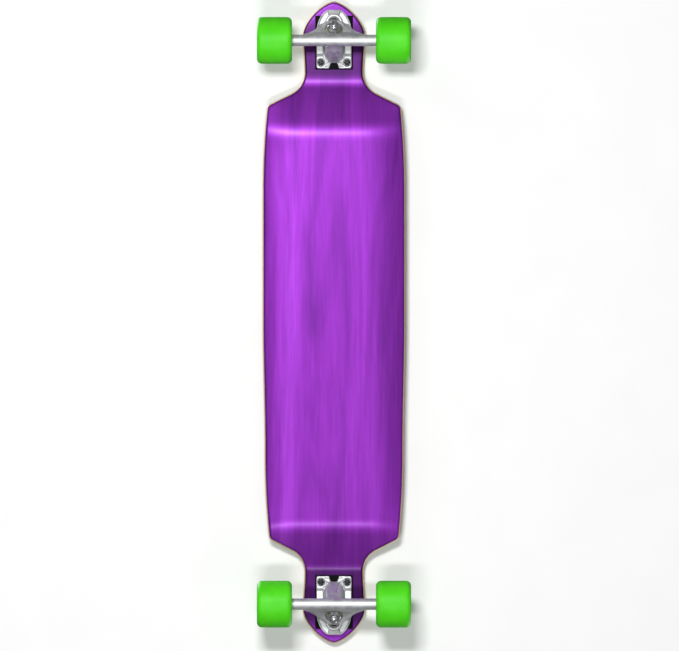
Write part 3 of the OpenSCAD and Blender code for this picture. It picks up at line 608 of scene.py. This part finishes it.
def lathe(name, profile, centre, axis="Y", segments=128, closed=True):
    # Turns a profile of (radius, distance along the axis) points about an axis through centre
    points, faces = [], []
    count = len(profile)
    for i in range(segments):
        a = 2 * math.pi * i / segments
        for radius, along in profile:
            if axis == "Y":
                points.append((radius * math.cos(a), along, radius * math.sin(a)))
            else:
                points.append((radius * math.cos(a), radius * math.sin(a), along))
    span = count if closed else count - 1
    for i in range(segments):
        for j in range(span):
            k = (j + 1) % count
            n = (i + 1) % segments
            faces.append((i * count + j, i * count + k, n * count + k, n * count + j))
    mesh = bpy.data.meshes.new(name)
    mesh.from_pydata(points, [], faces)
    work = bmesh.new()
    work.from_mesh(mesh)
    bmesh.ops.remove_doubles(work, verts=work.verts, dist=1e-7)
    bmesh.ops.recalc_face_normals(work, faces=work.faces)
    work.to_mesh(mesh)
    work.free()
    mesh.transform(Matrix.Translation(centre))
    return link(name, mesh)


wheel = {
    "radius": 0.037, "half": 0.02765, "lip": 0.008, "coreRadius": 0.017, "coreHalf": 0.014,
    "crown": 0.00015, "sideRing": 0.0006, "shelfDrop": 0.002, "lipSteps": 12,
}


def tyreProfile():
    # Half section from the middle of the tread round one lip to the core, mirrored
    radius, half, lip = wheel["radius"], wheel["half"], wheel["lip"]
    core, coreHalf = wheel["coreRadius"], wheel["coreHalf"]
    right = []
    for i in range(5):
        t = i / 4
        right.append((radius - wheel["crown"] * t * t, (half - lip) * t))
    for i in range(1, wheel["lipSteps"] + 1):
        a = math.pi / 2 * i / wheel["lipSteps"]
        right.append((radius - lip + (lip - wheel["crown"]) * math.cos(a), half - lip + lip * math.sin(a)))
    shelf = radius - lip - wheel["shelfDrop"]
    right += [(shelf + 0.0006, half), (shelf - 0.0002, half - 0.0003)]
    # Dished side with one raised ring
    for t, lift in ((0.06, 0.0), (0.30, 0.0), (0.36, 1.0), (0.44, 1.0), (0.50, 0.0), (0.97, 0.0)):
        right.append((shelf + (core - shelf) * t, half + (coreHalf - half) * t + wheel["sideRing"] * lift))
    right += [(core + 0.0001, coreHalf - 0.0003), (core, coreHalf - 0.0010)]
    left = [(r, -y) for r, y in reversed(right[1:])]
    return right + left


def makeWheels(materials):
    profile = tyreProfile()
    for end in ends:
        for side in sides:
            name = f"{end}_{side}"
            piece = lathe(f"{end}{side.capitalize()}Tyre", profile, middleOf(f"{name}_wheel"), "Y", 160)
            piece.data.materials.append(materials["pouredUrethane"])
            shadeByAngle(piece, 32)
            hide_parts(f"{name}_wheel")
            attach(piece, f"{name}_wheel")


def instanceTree(name):
    # Puts a copy of a part on every hole of the pattern, two rows and two columns for each truck
    numbers = ["Axle Distance", "Inboard Row", "Pattern Length", "Pattern Width", "Height"]
    tree, start = geometryTree(name, [("Part", "NodeSocketObject")]
                               + [(label, "NodeSocketFloat") for label in numbers]
                               + [("Material", "NodeSocketMaterial")])
    size = start.outputs

    def calc(operation, a, b=0.0):
        return addNode(tree, "ShaderNodeMath", {"operation": operation}, {0: a, 1: b}).outputs[0]

    part = addNode(tree, "GeometryNodeObjectInfo", {"transform_space": "ORIGINAL"}, {"Object": size["Part"]})
    grids = []
    middle = calc("ADD", calc("SUBTRACT", size["Axle Distance"], size["Inboard Row"]),
                  calc("DIVIDE", size["Pattern Length"], 2.0))
    for sign in (1.0, -1.0):
        grid = addNode(tree, "GeometryNodeMeshGrid", None, {
            "Size X": size["Pattern Length"], "Size Y": size["Pattern Width"],
            "Vertices X": 2, "Vertices Y": 2})
        offset = addNode(tree, "ShaderNodeCombineXYZ", None, {
            0: calc("MULTIPLY", middle, sign), 2: size["Height"]})
        grids.append(addNode(tree, "GeometryNodeTransform", None, {
            "Geometry": grid.outputs["Mesh"], "Translation": offset}))
    both = addNode(tree, "GeometryNodeJoinGeometry")
    for grid in grids:
        tree.links.new(grid.outputs[0], both.inputs[0])
    placed = addNode(tree, "GeometryNodeInstanceOnPoints", None, {"Points": both,
                                                                  "Instance": part.outputs["Geometry"]})
    finishTree(tree, placed, start)
    return tree


def boltShape():
    # Countersunk bolt with a cross recess, its head's top at Z 0
    radius, head = hardware["boltDiameter"] / 2, hardware["headRadius"]
    profile = [(0.0, 0.0), (head - 0.0004, 0.0), (head - 0.0001, -0.0001), (head, -0.0004),
               (radius, -hardware["headHeight"]), (radius, 0.0006 - hardware["boltLength"]),
               (radius - 0.0005, -hardware["boltLength"]), (0.0, -hardware["boltLength"])]
    bolt = lathe("boltShape", profile, (0, 0, 0), "Z", 32, False)
    work = bmesh.new()
    bar = Matrix.Diagonal((hardware["crossLength"], hardware["crossWidth"], hardware["crossDepth"] * 2, 1.0))
    for turn in (0, 90):
        bmesh.ops.create_cube(work, size=1.0, matrix=Matrix.Rotation(math.radians(turn), 4, "Z") @ bar)
    mesh = bpy.data.meshes.new("crossPlug")
    work.to_mesh(mesh)
    work.free()
    plug = link("crossPlug", mesh)
    cut = bolt.modifiers.new("cross", "BOOLEAN")
    cut.operation, cut.solver, cut.object, cut.use_self = "DIFFERENCE", "EXACT", plug, True
    return bolt, plug


def nutShape():
    # Lock nut with rounded corners and a nylon collar, its seat at Z 0, collar down
    across, height, collar = hardware["nutAcross"], hardware["nutHeight"], hardware["collarHeight"]
    bore = hardware["boltDiameter"] / 2
    corner = across / 2 / math.cos(math.radians(30))
    work = bmesh.new()
    rings = [(corner, 0.0), (corner, -(height - collar) + 0.0004), (across / 2, -(height - collar))]
    rows = []
    for radius, z in rings:
        rows.append([work.verts.new((radius * math.cos(math.radians(60 * i + 30)),
                                     radius * math.sin(math.radians(60 * i + 30)), z)) for i in range(6)])
    for a, b in zip(rows, rows[1:]):
        for i in range(6):
            work.faces.new((a[i], a[(i + 1) % 6], b[(i + 1) % 6], b[i]))
    work.faces.new(rows[0])
    work.faces.new(list(reversed(rows[-1])))
    bmesh.ops.recalc_face_normals(work, faces=work.faces)
    mesh = bpy.data.meshes.new("nutShape")
    work.to_mesh(mesh)
    work.free()
    nut = link("nutShape", mesh)
    low = -(height - collar) + 0.0003
    ring = lathe("nutCollar", [(bore, low), (across * 0.46, low), (across * 0.46, -height + 0.0008),
                               (across * 0.42, -height + 0.0002), (across * 0.36, -height), (bore, -height)],
                 (0, 0, 0), "Z", 28)
    return nut, ring


def joined(name, pieces):
    # One plain mesh from several objects, modifiers included
    graph = bpy.context.evaluated_depsgraph_get()
    work = bmesh.new()
    for piece in pieces:
        mesh = bpy.data.meshes.new_from_object(piece.evaluated_get(graph), depsgraph=graph)
        work.from_mesh(mesh)
        bpy.data.meshes.remove(mesh)
    mesh = bpy.data.meshes.new(name)
    work.to_mesh(mesh)
    work.free()
    return link(name, mesh)


def makeHardware(materials):
    tree = instanceTree("boltPattern")
    bolt, plug = boltShape()
    boltPart = joined("boltPart", [bolt])
    nut, ring = nutShape()
    nutPart = joined("nutPart", [nut, ring])
    boltTop = deckLevel + deck["thickness"] + hardware["headProud"]
    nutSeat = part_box("mounting_nuts")[1].z
    for name, part, height, replaced in (("mountingBolts", boltPart, boltTop, "mounting_bolts"),
                                         ("mountingNuts", nutPart, nutSeat, "mounting_nuts")):
        piece = link(name, bpy.data.meshes.new(name))
        applyTree(piece, tree, {
            "Part": part, "Axle Distance": deck["axleX"],
            "Inboard Row": hardware["inboard"],
            "Pattern Length": hardware["length"], "Pattern Width": hardware["width"], "Height": height,
            "Material": materials["blackenedSteel"]})
        shadeByAngle(piece, 35)
        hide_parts(replaced)
        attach(piece, "board")
    for helper in (bolt, plug, boltPart, nut, ring, nutPart):
        dropObject(helper)


steer = {"tilt": math.radians(35), "offset": 0.0185, "kingpinAt": 0.029}


def steerPlace(end, along, across, height):
    # A point of a truck's steering frame in the board's frame: along the steering axis toward
    # the kingpin, across the board, and along the kingpin toward the road
    s, h = along, height - steer["offset"]
    tilt = steer["tilt"]
    outboard = h * math.sin(tilt) + s * math.cos(tilt)
    roadward = h * math.cos(tilt) - s * math.sin(tilt)
    return Vector((end * (deck["axleX"] + outboard), across, wheel["radius"] - roadward))


casting = {"voxel": 0.00062, "smoothing": 4, "keptShare": 0.45}


def castPiece(name, nodeName, body, material):
    # Takes the CAD casting's solid and gives its edges the soft radius that a real one has
    source = nodes[nodeName]
    mesh = source.data.copy()
    mesh.name = name
    work = bmesh.new()
    work.from_mesh(mesh)
    bmesh.ops.remove_doubles(work, verts=work.verts, dist=1e-6)
    work.to_mesh(mesh)
    work.free()
    piece = link(name, mesh)
    remesh = piece.modifiers.new("skin", "REMESH")
    remesh.mode = "VOXEL"
    remesh.voxel_size = casting["voxel"]
    smooth = piece.modifiers.new("softEdges", "CORRECTIVE_SMOOTH")
    smooth.iterations = casting["smoothing"]
    smooth.use_only_smooth = True
    thin = piece.modifiers.new("thin", "DECIMATE")
    thin.ratio = casting["keptShare"]
    graph = bpy.context.evaluated_depsgraph_get()
    made = bpy.data.meshes.new_from_object(piece.evaluated_get(graph), depsgraph=graph)
    piece.modifiers.clear()
    piece.data = made
    bpy.data.meshes.remove(mesh)
    made.materials.clear()
    made.materials.append(material)
    shadeByAngle(piece, 55)
    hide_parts(nodeName)
    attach(piece, body)


bushing = {
    "bore": 0.0049,
    # Heights on the kingpin between which each one turns from the board to the truck
    "bend": {"boardside": (-0.017, -0.002), "roadside": (0.012, 0.0)},
}


def makeBushings(end, materials):
    # Soft urethane cushions on the kingpin.
    sign = ends[end]
    bore = bushing["bore"]
    profiles = {
        "boardside": [(bore, -0.0170), (0.0108, -0.0170), (0.0118, -0.0163), (0.0120, -0.0150),
                      (0.0118, -0.0100), (0.0119, -0.0060), (0.0119, -0.0042), (0.0112, -0.0031),
                      (bore, -0.0031)],
        "roadside": [(bore, 0.0010), (0.0112, 0.0010), (0.0118, 0.0014), (0.0117, 0.0024), (0.0108, 0.0050),
                     (0.0095, 0.0083), (0.0093, 0.0110), (0.0092, 0.0120), (bore, 0.0120)],
    }
    tilt = steer["tilt"]
    # The kingpin's own axes in the board's frame
    xAxis = Vector((sign * math.cos(tilt), 0, math.sin(tilt)))
    zAxis = Vector((sign * math.sin(tilt), 0, -math.cos(tilt)))
    yAxis = zAxis.cross(xAxis)
    turn = Matrix((xAxis, yAxis, zAxis)).transposed().to_4x4()
    place = Matrix.Translation(steerPlace(sign, steer["kingpinAt"], 0, 0)) @ turn
    for which, profile in profiles.items():
        piece = lathe(f"{end}{which.capitalize()}Bushing", profile, (0, 0, 0), "Z", 72)
        piece.data.transform(place)
        piece.data.materials.append(materials["bushingUrethane"])
        shadeByAngle(piece, 40)
        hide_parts(f"{end}_{which}_bushing")
        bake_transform(piece)


def makeTrucks(materials):
    for end in ends:
        castPiece(f"{end}BaseCasting", f"{end}_baseplate", "board", materials["castAluminium"])
        castPiece(f"{end}HangerCasting", f"{end}_hanger", f"{end}_truck", materials["castAluminium"])
        makeBushings(end, materials)
        print("truck made:", end)


def paintFrame(materials):
    finishes = {
        "riser_pad": "padRubber", "pivot_cup": "cupNylon", "kingpin": "zincSteel", "kingpin_nut": "zincSteel",
        "boardside_washer": "zincSteel", "roadside_washer": "zincSteel", "axle": "turnedAxle",
        "speed_rings": "zincSteel", "bearing_spacers": "zincSteel", "axle_nuts": "zincSteel",
        "bearing_inner_rings": "bearingSteel", "bearing_outer_rings": "bearingSteel",
        "bearing_balls": "bearingSteel", "bearing_shields": "sealRubber", "ball_cages": "cageNylon",
        "hub_core": "hubNylon",
    }
    for name, node in nodes.items():
        for ending, finish in finishes.items():
            if name.endswith("_" + ending):
                node.data.materials.clear()
                node.data.materials.append(materials[finish])


view = {
    "frameWidth": 1.0728,      # width that the frame takes in, at the height of the board
    "middle": (-0.0051, 0.0087, 0.06),       # the point at the middle of the frame
    "lens": 1000.0, "sensor": 36.0, "near": 1.0, "far": 200.0,
}


def makeCamera():
    # Looks straight up at the underside with a very long lens, nose at the top
    camera = bpy.data.cameras.new("camera")
    camera.sensor_width = view["sensor"]
    camera.lens = view["lens"]
    distance = view["frameWidth"] * view["lens"] / view["sensor"]
    camera.clip_start, camera.clip_end = view["near"], view["far"]
    holder = link("camera", camera)
    x, y, z = view["middle"]
    # The frame's right is +Y and its top is +X, so the camera looks along +Z
    turn = Matrix(((0, 1, 0), (1, 0, 0), (0, 0, -1))).to_4x4()
    holder.matrix_world = Matrix.Translation((x, y, z - distance)) @ turn
    scene.camera = holder


stage = {"half": 40.0, "backdropGap": 0.006}


def stagePlane(name, height, facing, material):
    # A large plane that shows from its front only, so that it never hides the object
    size = stage["half"]
    corners = [(-size, -size, height), (size, -size, height), (size, size, height), (-size, size, height)]
    mesh = bpy.data.meshes.new(name)
    mesh.from_pydata(corners, [], [(0, 1, 2, 3) if facing > 0 else (3, 2, 1, 0)])
    mesh.materials.append(material)
    plane = link(name, mesh)
    plane.visible_diffuse = False
    plane.visible_glossy = False
    plane.visible_transmission = False
    plane.visible_shadow = False


def paper(name, level, glow):
    # Plain pale paper that is clear from behind. Its glow stands for light that comes through it.
    material, tree = newMaterial(name)
    place = addNode(tree, "ShaderNodeTexCoord")
    fibre = noiseFor(tree, place.outputs["Object"], 9.0, 2.0, 0.5)
    tone = ramp(tree, fibre, [(0.3, grey(level - 0.01)), (0.7, grey(level + 0.01))])
    matte = addNode(tree, "ShaderNodeBsdfDiffuse", None, {"Color": tone})
    lit = addNode(tree, "ShaderNodeEmission", None, {"Color": grey(1.0), "Strength": glow})
    front = addNode(tree, "ShaderNodeAddShader", None, {0: matte, 1: lit})
    clear = addNode(tree, "ShaderNodeBsdfTransparent")
    behind = addNode(tree, "ShaderNodeNewGeometry")
    both = addNode(tree, "ShaderNodeMixShader", None, {0: behind.outputs["Backfacing"], 1: front, 2: clear})
    addNode(tree, "ShaderNodeOutputMaterial", None, {"Surface": both})
    return material


lamps = {
    # name: (place, aim, width, height, watts)
    "keyBelow": ((1.05, -0.42, -3.6), (0, 0, 0.06), 0.5, 0.9, 96.0),
    "sideBelow": ((2.2, -1.9, -1.6), (0, 0, 0.06), 1.0, 1.0, 7.0),
    "fillBelow": ((-2.0, 1.8, -2.2), (0, 0, 0.06), 1.6, 1.6, 4.0),
    "frontBelow": ((0.0, 0.0, -6.0), (0, 0, 0.06), 2.6, 2.6, 6.0),
    "tailBelow": ((-1.35, -0.3, -3.4), (-0.32, 0, 0.09), 0.30, 1.2, 40.0),
    "keyAbove": ((1.4, -1.8, 2.6), (0, 0, 0.06), 1.4, 1.4, 70.0),
    "fillAbove": ((-1.8, 1.6, 2.2), (0, 0, 0.06), 2.0, 2.0, 32.0),
}


def makeLights():
    for name, (place, aim, width, height, watts) in lamps.items():
        lamp = bpy.data.lights.new(name, "AREA")
        lamp.shape = "RECTANGLE"
        lamp.size, lamp.size_y = width, height
        lamp.energy = watts
        holder = link(name, lamp)
        ahead = (Vector(aim) - Vector(place)).normalized()
        # The lamp's own X is turned to lie along the board, so that strips run across it
        side = Vector((1, 0, 0)) - ahead * ahead.x
        side.normalize()
        up = (-ahead).cross(side)
        holder.matrix_world = Matrix.Translation(place) @ Matrix((side, up, -ahead)).transposed().to_4x4()
        holder.visible_camera = False
    world = bpy.data.worlds.new("studio")
    world.use_nodes = True
    world.node_tree.nodes.clear()
    sky = addNode(world.node_tree, "ShaderNodeBackground", None, {"Color": grey(1.0), "Strength": 0.18})
    addNode(world.node_tree, "ShaderNodeOutputWorld", None, {"Surface": sky})
    scene.world = world
    scene.view_settings.view_transform = "Standard"


makeCamera()
makeLights()
stagePlane("floor", 0.0, 1, paper("floorPaper", 0.55, 0.30))
stagePlane("backdrop", cadBox[1].z + stage["backdropGap"], -1, paper("backdropPaper", 0.92, 0.0))
print("stage made")

finishes = {
    "stainedMaple": stainedMaple(),
    "mapleEdge": mapleEdge(),
    "gritPaper": gritPaper(),
    "castAluminium": castAluminium(),
    "zincSteel": turnedSteel("zincSteel", "#B4B6BA", 0.22, 260.0),
    "turnedAxle": turnedSteel("turnedAxle", "#BFC1C5", 0.18),
    "bearingSteel": turnedSteel("bearingSteel", "#C6C8CC", 0.14),
    "blackenedSteel": blackenedSteel(),
    # Cast polyurethane: soft-looking saturated green with a satin finish
    "pouredUrethane": soft("pouredUrethane", "#54DC1E", "#4BD214", 0.46, 0.0006, 0.00005,
                           {"Subsurface Weight": 0.12, "Subsurface Radius": (0.004, 0.006, 0.002),
                            "Subsurface Scale": 1.0, "Specular IOR Level": 0.22}),
    "bushingUrethane": soft("bushingUrethane", "#E9E2BE", "#DDD3A6", 0.38, 0.0006, 0.00004),
    "hubNylon": soft("hubNylon", "#F0EFE6", "#E6E4D8", 0.35, 0.0005, 0.00004),
    "cupNylon": soft("cupNylon", "#E6E0CC", "#DAD3BC", 0.45, 0.0005, 0.00004),
    "cageNylon": soft("cageNylon", "#CDB774", "#BFA862", 0.45, 0.0005, 0.00004),
    "padRubber": soft("padRubber", "#0A0A0B", "#050506", 0.70, 0.0008, 0.00008, {"Specular IOR Level": 0.12}),
    "sealRubber": soft("sealRubber", "#8E2B26", "#7C231F", 0.48, 0.0006, 0.00005),
}
print("materials made")

pressDeck(finishes)
print("deck made")
makeHardware(finishes)
print("bolts and nuts made")
makeWheels(finishes)
print("wheels made")
makeTrucks(finishes)
paintFrame(finishes)
print("frame painted")
